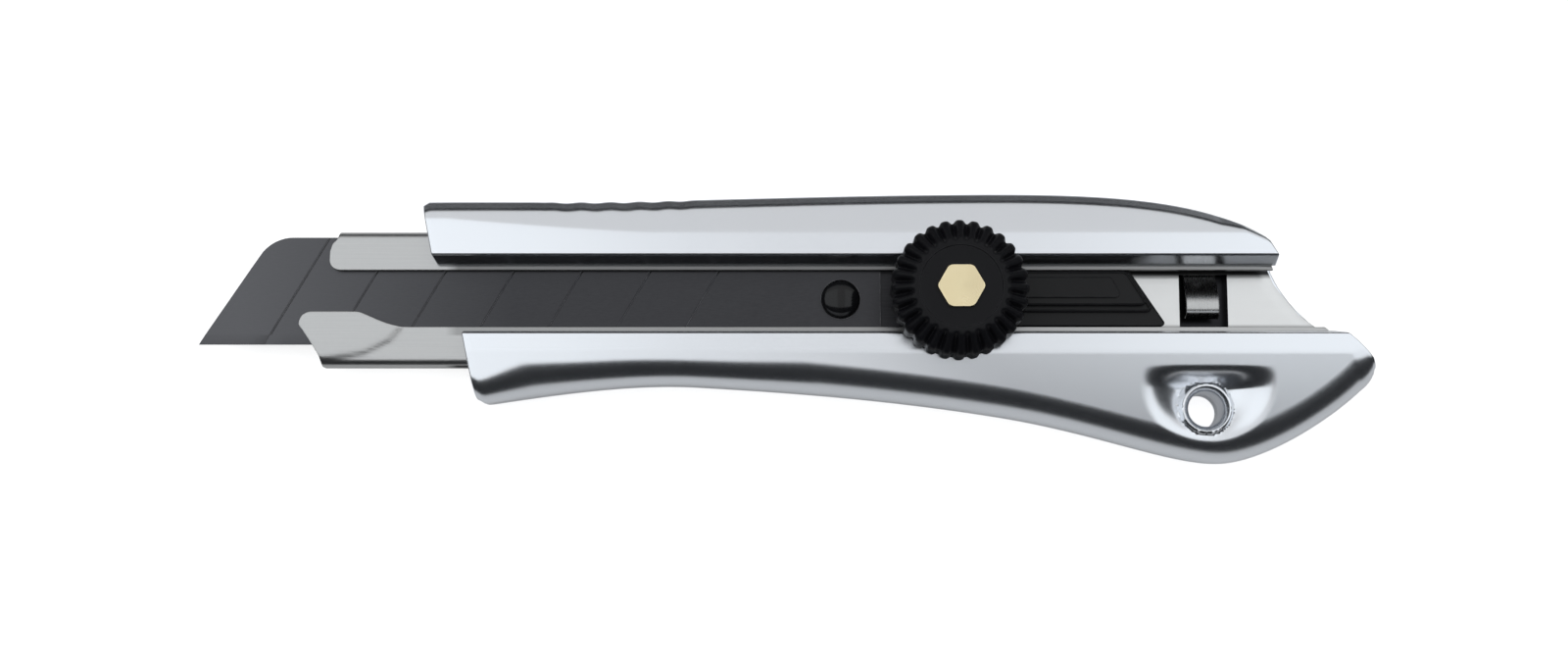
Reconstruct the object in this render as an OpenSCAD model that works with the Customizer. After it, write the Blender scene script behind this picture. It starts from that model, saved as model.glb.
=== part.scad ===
// Snap-off blade utility knife with a screw-down lock wheel, lying on its back.
// X runs along the knife (blade tip at -X), Y across it (spine at +Y), Z up towards the lock wheel.
// The origin is the centre of the footprint, on the flat back face.

/* [Handle] */
// Distance from the blade tip to the middle of the knife, and from the middle to the butt
half_length = 97; // [96:0.5:98]
// Half of the width across spine and belly
half_width = 22.4; // [22.2:0.1:22.6]
// Height of the two rails above the flat back
rail_top = 12; // [11.4:0.1:12.2]
// Thickness of the handle floor under the blade channel
floor_t = 2.8; // [2.6:0.1:3]
// Y of the line that the channel, the peg and the wheel are centred on
axis_y = 5.2; // [5:0.1:5.4]

/* [Blade] */
// Width of the blade strip
blade_w = 18; // [17.8:0.1:18]
// Thickness of the blade strip
blade_t = 0.5; // [0.4:0.05:0.6]
// Distance between two score lines
segment_pitch = 11.35; // [11:0.05:12]
// Number of score lines
score_lines = 7; // [5:1:7]
// Whole length of the blade along its cutting edge
blade_l = 113; // [112:0.5:114]
// Lean of the score lines, degrees from the cutting edge
score_angle = 60; // [56:1:62]

/* [Channel] */
// Outer width of the stainless channel
channel_w = 22.6; // [22.4:0.1:22.6]
// Outer height of the stainless channel
channel_h = 4.4; // [4.4:0.05:4.5]
// Sheet thickness of the channel
sheet_t = 0.8; // [0.7:0.05:0.8]
// Width of the window between the two folded lips
window_w = 9.5; // [9.3:0.1:9.6]

/* [Lock wheel] */
// X of the wheel axis with the blade out by one and a half segments
wheel_x = 28.3; // [28:0.1:28.6]
// Diameter over the grip teeth
wheel_d = 22.4; // [21.6:0.2:22.4]
// Number of grip teeth
wheel_teeth = 28; // [20:1:32]
// Height of the toothed disc
disc_h = 7.8; // [7:0.1:8]
// Across flats of the brass hexagon
hex_af = 6.7; // [6.4:0.1:7]
// Thread diameter of the clamp stud
stud_d = 4; // [3.8:0.1:4]

/* [Lanyard hole] */
// Diameter of the hole
lanyard_d = 5.8; // [5.4:0.1:6]
// X of the hole
lanyard_x = 69.1; // [68.8:0.1:69.4]
// Y of the hole
lanyard_y = -13.3; // [-13.5:0.1:-13.1]

/* [Hidden] */
$fn = 72;
past = 1;                                   // how far a cutting shape runs past the face it cuts
fit = 0.05;                                 // running clearance of a guided face

channel_z = floor_t;                        // the channel lies on the handle floor
channel_top = channel_z + channel_h;
inner_floor = channel_z + sheet_t;          // inside of the channel, above its floor
lip_under = channel_top - sheet_t;
inner_half = channel_w / 2 - sheet_t;

slot_low = axis_y - 6.3;                    // inner edges of the lower and the upper rail, on top
slot_high = axis_y + 6.5;
slot_half = 5.35;                           // half width of the slot at the foot of its drafted walls

carrier_t = 1.2;
carrier_z = 4.3;
carrier_top = carrier_z + carrier_t;
carrier_half = inner_half - 0.2;
carrier_front = 3.5;
carrier_rear = 48.7;

blade_z = carrier_top + fit;
blade_tip_x = -half_length;
blade_high = axis_y + inner_half - fit;     // the spine of the blade runs against the channel wall
blade_low = blade_high - blade_w;
blade_front_lean = 0.65;                    // X run of the front edge for each millimetre of Y
blade_corner_r = 6.5;
score_w = 0.35;
score_depth = 0.12;
score_first = 10.9;                         // cutting edge length of the first, part-used segment

peg_x = 9.4;
peg_r = 3.2;
peg_dome = 1.3;                             // height of the dome above its straight part
peg_top = 7.9;

washer_l = 12;                              // guided plate between the rails: length, half width, corners
washer_half = 5.2;
washer_corner = 1.5;
washer_z = channel_top + fit;
washer_t = 1;
wave_z = washer_z + washer_t + fit;
wave_t = 0.4;
wave_r = 5;
hub_r = 5.1;
hub_z = wave_z + wave_t + fit;
disc_z = rail_top + 0.7;                    // the disc runs clear over the rails
wheel_top = disc_z + disc_h;
face_r = 7.2;                               // flat front face of the wheel
shoulder_drop = 1.7;                        // fall of the bevelled shoulder out to the teeth
nut_proud = 0.4;
stud_top = 17;

spring_x = 67;                              // near side of the stop spring
spring_w = 5.5;
spring_t = 0.6;
spring_pivot = [12.6, 2.2];                 // Y and Z of the bend line at the rivet
spring_rivet_r = 1.25;
pocket = [66.1, 0.4, 8.1, 9.4];             // window in the channel floor: X, Y, length, width

rivet_x = [-44, 40];
rivet_r = 1.6;
rivet_head_r = 3;
rivet_head_t = 1;

recess_c = [69.4, -8.8];                    // scoop around the lanyard hole
recess_r = 9.9;
recess_edge = -6.9;
recess_z = 8;
boss_r = 4.3;
boss_top = 9.4;

// Points of a cubic curve from a to d, leaving out d itself
function curve(a, b, c, d, n = 12) =
    [for (i = [0 : n - 1]) let (t = i / n, s = 1 - t) s * s * s * a + 3 * s * s * t * b + 3 * s * t * t * c + t * t * t * d];

// Points of an arc around c, from angle a0 to a1
function arc(c, r, a0, a1, n = 8) =
    [for (i = [0 : n]) let (a = a0 + (a1 - a0) * i / n) c + r * [cos(a), sin(a)]];

// A box from its lowest to its highest corner
module span(low, high) {
    translate(low) cube(high - low);
}

// Outline of the casting seen from above, clockwise from the front of the spine
module handle_outline() {
    polygon(concat(
        [[-59.6, 20.3]],
        curve([-59.0, 20.9], [-47, 21], [-36, 20.9], [-26, 21.1]),
        curve([-26, 21.1], [-8, 21.5], [14, half_width], [36, half_width]),
        curve([36, half_width], [59, half_width], [71, 20.4], [79.8, 14.6]),
        curve([79.8, 14.6], [80.9, 13.9], [81.3, 13], [81.3, 12], 5),
        curve([81.3, 12], [82, 8], [86, 2.5], [91, -0.3]),
        curve([91, -0.3], [92.8, -1.3], [94, -2.7], [95.3, -4.1], 4),
        curve([95.3, -4.1], [97.4, -6.2], [97.63, -8.4], [95.6, -10.3], 8),
        curve([95.6, -10.3], [90, -15.5], [79, -half_width], [71.7, -half_width]),
        curve([71.7, -half_width], [64, -half_width], [52, -17.3], [36, -14.7]),
        curve([36, -14.7], [18, -11.8], [2, -10.6], [-14, -9.7]),
        curve([-14, -9.7], [-24, -9.1], [-36, -10.6], [-48.9, -12.6]),
        [[-48.9, -12.6], [-49.9, -12.5], [-50.4, -11.7], [-52.6, -1.1], [-57.7, 11.2]]));
}

// Tilted cut that lowers a face: it starts on the line y = at and falls away by tilt degrees
module face_fall(at, tilt, side) {
    translate([-half_length - 10, at, rail_top])
        rotate([-side * tilt, 0, 0])
            mirror([0, side < 0 ? 1 : 0, 0])
                cube([2 * half_length + 20, 40, 20]);
}

// D-shaped scoop around the lanyard hole, with the boss left standing in it
module lanyard_scoop() {
    difference() {
        intersection() {
            translate([recess_c[0], recess_c[1], recess_z]) cylinder(r1 = recess_r - 2.2, r2 = recess_r + 0.4, h = 4.6);
            span([50, -30, recess_z - past], [90, recess_edge, rail_top + past]);
        }
        translate([lanyard_x, lanyard_y, 0]) cylinder(r = boss_r, h = boss_top);
    }
}

// Slot between the rails: its walls lean in towards the blade, as a cast slot's do
module drafted_slot() {
    foot = channel_top + fit;
    translate([-70, axis_y, 0]) rotate([90, 0, 90]) linear_extrude(170)
        polygon([[-slot_half, channel_z + past], [slot_half, channel_z + past], [slot_half, foot],
                 [slot_high - axis_y, rail_top], [slot_high - axis_y, rail_top + past],
                 [slot_low - axis_y, rail_top + past], [slot_low - axis_y, rail_top], [-slot_half, foot]]);
}

// Die-cast handle: floor, two overhanging rails, belly and butt in one piece
module handle_casting() {
    color("silver") difference() {
        linear_extrude(rail_top) handle_outline();
        face_fall(16, 17, 1);
        face_fall(-4.2, 7, -1);
        span([-60, axis_y - channel_w / 2 - fit, channel_z], [100, axis_y + channel_w / 2 + fit, channel_top + fit]);
        drafted_slot();
        span([pocket[0], pocket[1], 0.9], [pocket[0] + pocket[2], 15, channel_z + past]);
        lanyard_scoop();
        translate([lanyard_x, lanyard_y, -past]) cylinder(d = lanyard_d, h = rail_top + 2 * past);
        for (x = rivet_x) {
            translate([x, axis_y, -past]) cylinder(r = rivet_r, h = floor_t + 2 * past);
            translate([x, axis_y, -past]) cylinder(r = rivet_head_r, h = past + rivet_head_t);
        }
        translate([spring_x + spring_w / 2, spring_pivot[0], -past])
            cylinder(r = spring_rivet_r, h = floor_t + 2 * past);
    }
}

// Front of the channel floor and its side walls
module channel_plan() {
    polygon([[100, -8], [-75.6, -8], [-76.7, -4.3], [-79.6, 0.6], [-75.2, 12.5], [-73.2, 18], [100, 18]]);
}

// Outline of the folded lips with their two nose tabs
module lips_plan() {
    low = axis_y - window_w / 2;
    high = axis_y + window_w / 2;
    polygon(concat(
        [[100, 18]],
        arc([-72.9, axis_y + channel_w / 2 - 2.5], 2.5, 90, 165),
        arc([-73.7, high + 1.75], 1.75, 190, 270),
        [[100, high]]));
    polygon(concat(
        [[100, low], [-63, low], [-67.2, 2.1]],
        arc([-71, -0.5], 3.5, 75, 90, 3),
        arc([-78.2, 1.0], 2.0, 90, 205),
        [[-76.8, -4.2], [-75.6, -8], [100, -8]]));
}

// Keeps a plan within the channel's width and in front of the handle's diagonal rear end
module channel_trim() {
    intersection() {
        children();
        translate([-half_length, axis_y - channel_w / 2]) square([2 * half_length, channel_w]);
        union() {
            handle_outline();
            translate([-90, -20]) square([60, 60]);
        }
    }
}

// Stainless channel: a C-section sheet, its rear cut to the handle's diagonal end
module blade_channel() {
    color("lightgray") difference() {
        union() {
            translate([0, 0, channel_z]) linear_extrude(channel_h - sheet_t) channel_trim() channel_plan();
            translate([0, 0, lip_under]) linear_extrude(sheet_t) channel_trim() lips_plan();
        }
        span([-half_length, axis_y - inner_half, inner_floor], [half_length, axis_y + inner_half, lip_under]);
        span([pocket[0], pocket[1], channel_z - past], [pocket[0] + pocket[2], pocket[1] + pocket[3], inner_floor + past]);
        for (x = rivet_x)
            translate([x, axis_y, channel_z - past]) cylinder(r = rivet_r + 0.6, h = sheet_t + 2 * past);
        translate([spring_x + spring_w / 2, spring_pivot[0], channel_z - past])
            cylinder(r = spring_rivet_r, h = sheet_t + 2 * past);
    }
}

// Two flush rivets that hold the channel on the handle floor
module channel_rivets() {
    color("gray") for (x = rivet_x)
        translate([x, axis_y, 0]) {
            cylinder(r = rivet_head_r, h = rivet_head_t);
            cylinder(r = rivet_r, h = inner_floor);
            translate([0, 0, channel_z]) cylinder(r = rivet_r + 0.6, h = sheet_t);
        }
}

// Middle line of the spring in Y and Z: flat root, ramp, crown and curled end
function spring_line() = concat(
    [[14.6, 2.2], [10.4, 2.2]],
    curve([10, 2.2], [8.6, 2.2], [6.6, 4.8], [4.6, 5.0], 10),
    curve([4.6, 5.0], [3.4, 5.1], [2.7, 4.6], [2.5, 3.4], 6),
    [[2.5, 3.4]]);

// Spring steel tongue: it stands up through the channel floor and stops the carrier
module stop_spring() {
    line = spring_line();
    last = len(line) - 1;
    ahead = [for (i = [0 : last]) line[min(i + 1, last)] - line[max(i - 1, 0)]];
    side = [for (v = ahead) [-v[1], v[0]] / norm(v) * spring_t / 2];
    outline = concat([for (i = [0 : last]) line[i] + side[i]], [for (i = [last : -1 : 0]) line[i] - side[i]]);
    color("dimgray") difference() {
        translate([spring_x, 0, 0]) rotate([90, 0, 90]) linear_extrude(spring_w) polygon(outline);
        translate([spring_x + spring_w / 2, spring_pivot[0], 0]) cylinder(r = spring_rivet_r + 0.2, h = floor_t);
    }
}

// Rivet through the root of the stop spring
module spring_rivet() {
    color("gray") translate([spring_x + spring_w / 2, spring_pivot[0], 0]) {
        cylinder(r = spring_rivet_r, h = inner_floor);
        translate([0, 0, inner_floor]) cylinder(r = spring_rivet_r + 0.65, h = 0.4);
    }
}

// Plan of the blade: raked front, round upper corner, square rear end
module blade_plan() {
    lean = atan(1 / blade_front_lean);
    run = blade_w * blade_front_lean;
    touch = blade_corner_r * tan((lean) / 2);
    corner = [blade_tip_x + run + touch, blade_high - blade_corner_r];
    polygon(concat(
        [[blade_tip_x, blade_low]],
        arc(corner, blade_corner_r, 90 + lean, 90, 10),
        [[blade_tip_x + blade_l, blade_high], [blade_tip_x + blade_l, blade_low]]));
}

// Score line number k, counted from the tip
module score_line(k) {
    translate([blade_tip_x + score_first + k * segment_pitch, blade_low, blade_z + blade_t - score_depth])
        rotate([0, 0, score_angle])
            translate([-2, -score_w / 2, 0]) cube([blade_w * 1.4, score_w, 1]);
}

// One strip of blade steel with its bevelled edge, score lines and peg hole
module blade() {
    bevel_w = 1.6;
    color("dimgray") difference() {
        translate([0, 0, blade_z]) linear_extrude(blade_t) blade_plan();
        for (k = [0 : score_lines - 1]) score_line(k);
        for (face = [0, 1])
            translate([0, blade_low, blade_z + blade_t / 2])
                mirror([0, 0, face])
                    rotate([90, 0, 90])
                        translate([0, 0, -half_length - 5])
                            linear_extrude(2 * half_length)
                                polygon([[-past, 0.04], [0, 0.04], [bevel_w, blade_t / 2], [bevel_w, 1], [-past, 1]]);
        translate([peg_x, axis_y, 0]) cylinder(r = peg_r + 0.08, h = 20);
    }
}

// Steel plate under the blade: it carries the peg and the stud
module blade_carrier() {
    color("dimgray") difference() {
        span([carrier_front, axis_y - carrier_half, carrier_z], [carrier_rear, axis_y + carrier_half, carrier_top]);
        translate([peg_x, axis_y, 0]) cylinder(r = 2, h = 20);
        translate([wheel_x, axis_y, 0]) cylinder(d = stud_d, h = 20);
    }
}

// Domed peg that sits in the hole of the blade, riveted into the carrier
module blade_peg() {
    ball_r = (peg_r * peg_r + peg_dome * peg_dome) / (2 * peg_dome);
    color([0.08, 0.08, 0.09]) translate([peg_x, axis_y, 0]) {
        intersection() {
            translate([0, 0, carrier_top]) cylinder(r = peg_r, h = 5);
            translate([0, 0, peg_top - ball_r]) sphere(r = ball_r);
        }
        translate([0, 0, carrier_z]) cylinder(r = 2, h = carrier_t + 0.5);
        translate([0, 0, carrier_z - 0.4]) cylinder(r = 3, h = 0.4);
    }
}

// Moulded slider: wings under the lips, a guide in the window and the stepped tail
module slider_block() {
    guide_half = window_w / 2 - 0.2;
    step_y = 3.2;
    color([0.13, 0.13, 0.13]) difference() {
        union() {
            span([18.9, axis_y - carrier_half, carrier_top + fit], [48.4, axis_y + carrier_half, lip_under - 2 * fit]);
            translate([0, 0, carrier_top + 0.1]) linear_extrude(channel_top - 0.15 - carrier_top - 0.1)
                polygon([[19.5, axis_y - guide_half], [63.6, axis_y - guide_half], [57.4, axis_y + guide_half],
                         [19.5, axis_y + guide_half]]);
            translate([0, 0, lip_under]) linear_extrude(8.3 - lip_under)
                polygon([[35.2, step_y], [60.8, step_y], [57, 9.2], [56.2, axis_y + guide_half],
                         [35.2, axis_y + guide_half]]);
        }
        translate([wheel_x, axis_y, 0]) cylinder(d = stud_d + 0.2, h = 20);
    }
}

// Headed stud that stands up through the slider
module clamp_stud() {
    color("gray") translate([wheel_x, axis_y, 0]) {
        translate([0, 0, inner_floor + 0.1]) cylinder(r = 3.5, h = carrier_z - inner_floor - 0.1);
        translate([0, 0, carrier_z - 0.1]) cylinder(d = stud_d, h = stud_top - carrier_z + 0.1);
    }
}

// Flat ring around the stud
module ring(outer_r, inner_r, z, t) {
    translate([wheel_x, axis_y, z]) difference() {
        cylinder(r = outer_r, h = t);
        translate([0, 0, -past]) cylinder(r = inner_r, h = t + 2 * past);
    }
}

// Steel plate, guided between the rails, that presses the lips down on the carrier
module pressure_washer() {
    color("silver") translate([wheel_x, axis_y, washer_z]) difference() {
        linear_extrude(washer_t) offset(washer_corner)
            square([washer_l - 2 * washer_corner, 2 * (washer_half - washer_corner)], center = true);
        translate([0, 0, -past]) cylinder(r = stud_d / 2 + 0.3, h = washer_t + 2 * past);
    }
}

// Thin spring washer under the hub of the wheel
module wave_washer() {
    color("gainsboro") ring(wave_r, stud_d / 2 + 0.6, wave_z, wave_t);
}

// Outline of the grip teeth: round crests with rounded valleys between them
module teeth_plan() {
    depth = 0.42;
    steps = 8;
    polygon([for (i = [0 : wheel_teeth * steps - 1])
        let (a = 360 * i / (wheel_teeth * steps), s = sin(a * wheel_teeth / 2))
            (wheel_d / 2 - 2 * depth * (1 - abs(s))) * [cos(a), sin(a)]]);
}

// Moulded lock wheel with its hub, toothed rim and bevelled shoulder
module lock_wheel() {
    color([0.1, 0.1, 0.1]) translate([wheel_x, axis_y, 0]) difference() {
        union() {
            translate([0, 0, hub_z]) cylinder(r = hub_r, h = disc_z - hub_z + 0.1);
            intersection() {
                translate([0, 0, disc_z]) linear_extrude(disc_h) teeth_plan();
                rotate_extrude()
                    polygon([[0, disc_z - past], [wheel_d / 2 - 0.6, disc_z - past], [wheel_d / 2 - 0.6, disc_z],
                             [wheel_d / 2 + 0.1, disc_z + 0.7], [wheel_d / 2 + 0.1, wheel_top - shoulder_drop - 0.4],
                             [wheel_d / 2 - 0.7, wheel_top - shoulder_drop],
                             [face_r, wheel_top], [0, wheel_top]]);
            }
        }
        translate([0, 0, hub_z - past]) cylinder(d = hex_af / cos(30), h = 30, $fn = 6);
    }
}

// Brass hexagon moulded into the wheel, with the blind thread for the stud
module wheel_nut() {
    color("goldenrod") translate([wheel_x, axis_y, 0]) difference() {
        translate([0, 0, hub_z]) cylinder(d = hex_af / cos(30), h = wheel_top + nut_proud - hub_z, $fn = 6);
        translate([0, 0, hub_z - past]) cylinder(d = stud_d + 0.1, h = stud_top + 0.5 - hub_z + past);
    }
}

handle_casting();
blade_channel();
channel_rivets();
stop_spring();
spring_rivet();
blade();
blade_carrier();
blade_peg();
slider_block();
clamp_stud();
pressure_washer();
wave_washer();
lock_wheel();
wheel_nut();
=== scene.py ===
# %% [markdown]
# # A snap-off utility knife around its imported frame
# The frame holds the exact solids of the knife: what moves, what fits and how big it is. This script gives
# them their looks. Pieces whose plain solid is already right keep it and only get a finish. The casting,
# the channel, the blade and the wheel get new surfaces, each worked out with numpy as a function of two
# parameters.

# %% Frame
import math

import bmesh
import bpy
import numpy as np
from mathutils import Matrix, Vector
from mathutils.geometry import delaunay_2d_cdt


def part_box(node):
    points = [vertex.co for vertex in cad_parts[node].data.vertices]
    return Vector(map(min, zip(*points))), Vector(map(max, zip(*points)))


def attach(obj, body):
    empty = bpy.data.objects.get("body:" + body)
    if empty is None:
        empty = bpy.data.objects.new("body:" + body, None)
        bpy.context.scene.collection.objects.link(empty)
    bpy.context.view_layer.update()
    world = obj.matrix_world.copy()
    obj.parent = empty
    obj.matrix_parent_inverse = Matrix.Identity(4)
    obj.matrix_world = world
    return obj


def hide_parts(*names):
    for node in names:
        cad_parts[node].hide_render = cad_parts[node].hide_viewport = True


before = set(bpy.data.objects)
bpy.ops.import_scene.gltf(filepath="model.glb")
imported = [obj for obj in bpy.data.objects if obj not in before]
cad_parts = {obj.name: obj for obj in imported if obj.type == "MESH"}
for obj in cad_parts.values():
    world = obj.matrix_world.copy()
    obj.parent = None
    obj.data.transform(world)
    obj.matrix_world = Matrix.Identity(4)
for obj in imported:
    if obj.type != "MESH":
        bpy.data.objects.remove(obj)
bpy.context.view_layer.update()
MM = 0.001

# %% [markdown]
# ## Sizes
# Everything below is in millimetres and in the frame's own axes: X from the blade tip to the butt, Y from
# belly to spine, Z from the flat back up to the lock wheel. Sizes that the solids already hold are read
# from their boxes, so a change of the frame carries through.

# %% Sizes from the frame
def box_mm(node):
    """Lowest and highest corner of a frame node, in millimetres."""
    low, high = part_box(node)
    return np.array(low) / MM, np.array(high) / MM


RAIL_TOP = box_mm("handle_casting")[1][2]
chan_low, chan_high = box_mm("blade_channel")
blade_low, blade_high = box_mm("blade")
wheel_low, wheel_high = box_mm("lock_wheel")
nut_low, nut_high = box_mm("wheel_nut")
peg_low, peg_high = box_mm("blade_peg")
block_low = box_mm("slider_block")[0]
spring_low, spring_high = box_mm("stop_spring")
AXIS_Y = (chan_low[1] + chan_high[1]) / 2
WHEEL_C = (wheel_low[:2] + wheel_high[:2]) / 2
SHEET_T = 0.8
SLOT_LOW, SLOT_HIGH, SLOT_HALF = AXIS_Y - 6.3, AXIS_Y + 6.5, 5.35
print("channel axis at y =", round(AXIS_Y, 3), " wheel axis at", WHEEL_C.round(3))

# %% [markdown]
# ## Mesh helpers
# A swept part is a stack of closed rings with the same number of points, so its faces follow a plain grid
# rule and the whole mesh can be handed to Blender at once. The two ends are closed with a constrained
# triangulation of the ring's own outline, which copes with a C-shaped section where a fan of triangles
# would not.

# %% Curves and grids
def bezier(a, b, c, d, n=24):
    """Points of a cubic curve: each end point and handle weighted by its Bernstein polynomial of t."""
    t = np.linspace(0, 1, n + 1)[:, None]
    a, b, c, d = (np.array(p, float) for p in (a, b, c, d))
    return (1 - t) ** 3 * a + 3 * (1 - t) ** 2 * t * b + 3 * (1 - t) * t**2 * c + t**3 * d


def chain(*parts):
    """Joins runs of points into one line and drops points that repeat."""
    line = np.concatenate([np.atleast_2d(np.array(p, float)) for p in parts])
    step = np.linalg.norm(np.diff(line, axis=0), axis=1)
    return line[np.concatenate([[True], step > 1e-6])]


def along(line, share):
    """Points at the given shares of a line's length, found by linear interpolation on its arc length."""
    length = np.concatenate([[0], np.cumsum(np.linalg.norm(np.diff(line, axis=0), axis=1))])
    at = np.asarray(share) * length[-1]
    return np.stack([np.interp(at, length, line[:, k]) for k in range(line.shape[1])], -1)


def straight(a, b, n):
    """n evenly spaced points of the segment from a to b."""
    return along(np.array([a, b]), np.linspace(0, 1, n))


def smooth(low, high, value):
    """Smooth step: 0 below low, 1 above high, and 3t^2 - 2t^3 in between."""
    t = np.clip((np.asarray(value, float) - low) / (high - low), 0, 1)
    return t * t * (3 - 2 * t)


def grid_quads(rows, cols, wrap_cols=False):
    """Quads of a grid of points numbered row by row; wrapped columns join the last one to the first."""
    row = np.arange(rows - 1)[:, None] * cols
    col = np.arange(cols if wrap_cols else cols - 1)[None, :]
    following = (col + 1) % cols
    quads = np.stack([row + col, row + following, row + cols + following, row + cols + col], -1)
    return quads.reshape(-1, 4).tolist()


def ring_cap(flat, start, flip):
    """Triangles that close a ring: a constrained triangulation of its outline, given as 2D points."""
    n = len(flat)
    edges = [(i, (i + 1) % n) for i in range(n)]
    _, _, faces, origin, _, _ = delaunay_2d_cdt([Vector(p) for p in flat], edges, [], 1, 1e-9)
    triangles = [[origin[v][0] + start for v in f] for f in faces]
    return [t[::-1] if flip else t for t in triangles]


def swept(rings, flat_ends):
    """Points and faces of closed rings joined in a row, with both ends capped by their 2D outlines."""
    count, size = rings.shape[:2]
    faces = grid_quads(count, size, wrap_cols=True)
    faces += ring_cap(flat_ends[0], 0, True)
    faces += ring_cap(flat_ends[1], (count - 1) * size, False)
    return rings.reshape(-1, 3), faces


def full_turn(steps):
    """Evenly spaced angles of one full turn, as a row."""
    return np.linspace(0, 2 * np.pi, steps, endpoint=False)[None]


def turned(radius, height, angle, centre):
    """Points and faces of a turned form with flat ends.

    Ring by ring, the radius is carried round the upright axis through the centre: its cosine goes to X and
    its sine to Y."""
    x, y = centre[0] + radius * np.cos(angle), centre[1] + radius * np.sin(angle)
    rings = np.stack([x, y, height + 0 * angle], -1)
    count, size = rings.shape[:2]
    ends = [list(range(size)), list(range((count - 1) * size, count * size))]
    return rings.reshape(-1, 3), grid_quads(count, size, wrap_cols=True) + ends


print("a ring of 6 points in 2 rows gives", len(grid_quads(2, 6, wrap_cols=True)), "quads")

# %% From arrays to a piece on a body
def solid_from(name, points, faces):
    """A linked mesh object from millimetre points, with every normal turned out of the closed solid."""
    mesh = bpy.data.meshes.new(name)
    mesh.from_pydata((np.asarray(points, float) * MM).tolist(), [], faces)
    mesh.validate()
    work = bmesh.new()
    work.from_mesh(mesh)
    bmesh.ops.recalc_face_normals(work, faces=work.faces)
    work.to_mesh(mesh)
    work.free()
    solid = bpy.data.objects.new(name, mesh)
    bpy.context.scene.collection.objects.link(solid)
    return solid


def make_piece(name, points, faces, body, slot, node, sharp=35):
    """Builds a piece that rides on a body and stands for a frame node, whose solid it hides; slot is not
    used.
    """
    piece = solid_from(name, points, faces)
    mesh = piece.data
    mesh.polygons.foreach_set("use_smooth", [True] * len(mesh.polygons))
    mesh.set_sharp_from_angle(angle=math.radians(sharp))
    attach(piece, body)
    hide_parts(node)
    print(f"{name}: {len(mesh.vertices)} points, {len(mesh.polygons)} faces, on {body}")
    return piece


def apply_modifiers(piece):
    """Bakes the piece's modifiers into its mesh."""
    bpy.context.view_layer.update()
    final = bpy.data.meshes.new_from_object(piece.evaluated_get(bpy.context.evaluated_depsgraph_get()))
    piece.modifiers.clear()
    piece.data = final
    return piece


def cut(piece, cutter, overlapping=False):
    """Subtracts a closed cutter from a piece, whose own shells may overlap, then throws the cutter away."""
    boolean = piece.modifiers.new("cut", "BOOLEAN")
    boolean.operation = "DIFFERENCE"
    boolean.solver = "EXACT"
    boolean.use_self = overlapping
    boolean.object = cutter
    apply_modifiers(piece)
    bpy.data.objects.remove(cutter)


def lathe_solid(name, profile, centre, steps=96):
    """A closed turned form: profile points (radius, z) from axis to axis, carried round the centre."""
    profile = np.array(profile, float)
    return solid_from(name, *turned(profile[:, :1], profile[:, 1:], full_turn(steps), centre))


print("helpers ready")

# %% [markdown]
# ## Rounded sections
# A die-cast or folded part is a section carried along a path. The section is written as its sharp corners,
# each with a radius. Every corner becomes an arc that is tangent to both of its sides, for all stations at
# once, so a corner may grow, shrink and travel along the part without the ring ever losing its point count.

# %% Section with arcs at its corners
def rounded_section(corners, stations):
    """Rings of (y, z) points. A corner is (y, z, radius, arc steps, points on the side that follows, reach).

    The tangent length is radius / tan(half the corner angle), held under the reach, by default 45%, of the
    shorter side. The arc is found by turning the unit vector from the arc's centre from one tangent point to
    the other."""
    full = lambda v: np.broadcast_to(np.asarray(v, float), (stations,))
    at = np.stack([np.stack([full(c[0]), full(c[1])], -1) for c in corners])
    radius = np.stack([full(c[2]) for c in corners])
    before, after = np.roll(at, 1, 0) - at, np.roll(at, -1, 0) - at
    len_a, len_b = np.linalg.norm(before, axis=-1), np.linalg.norm(after, axis=-1)
    a, b = before / len_a[..., None], after / len_b[..., None]
    half = np.arccos(np.clip((a * b).sum(-1), -0.99999, 0.99999)) / 2
    reach = np.array([c[5] if len(c) > 5 else 0.45 for c in corners])[:, None]
    tangent = np.minimum(radius / np.tan(half), reach * np.minimum(len_a, len_b))
    radius = tangent * np.tan(half)
    middle = (a + b) / np.linalg.norm(a + b, axis=-1, keepdims=True)
    centre = at + middle * (radius / np.sin(half))[..., None]
    from_a = (at + a * tangent[..., None] - centre) / radius[..., None]
    from_b = (at + b * tangent[..., None] - centre) / radius[..., None]
    turn = np.pi - 2 * half
    columns = []
    for k, corner in enumerate(corners):
        for t in np.linspace(0, 1, corner[3] + 1):
            wa, wb = np.sin((1 - t) * turn[k]) / np.sin(turn[k]), np.sin(t * turn[k]) / np.sin(turn[k])
            direction = wa[:, None] * from_a[k] + wb[:, None] * from_b[k]
            columns.append(centre[k] + radius[k][:, None] * direction)
        nxt = (k + 1) % len(corners)
        start = columns[-1]
        end = centre[nxt] + radius[nxt][:, None] * from_a[nxt]
        columns += [start + (end - start) * (i + 1) / (corner[4] + 1) for i in range(corner[4])]
    return np.stack(columns, 1)


def inset_ring(ring, amount):
    """Moves a ring of (y, z) points into its own area by amount, along the mean normal of its two sides."""
    ahead = np.roll(ring, -1, 0) - np.roll(ring, 1, 0)
    normal = np.stack([-ahead[:, 1], ahead[:, 0]], -1) / np.linalg.norm(ahead, axis=1, keepdims=True)
    y, z = ring.T
    area = 0.5 * np.sum(y * np.roll(z, -1) - np.roll(y, -1) * z)
    return ring + normal * amount * np.sign(area)


def round_end(section, radius, steps=4):
    """The rings of a quarter-round end: (inset section, how far it stands back from the end face)."""
    turn = np.linspace(0, np.pi / 2, steps + 1)
    return [(inset_ring(section, radius * (1 - math.cos(t))), radius * (1 - math.sin(t))) for t in turn]


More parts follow.
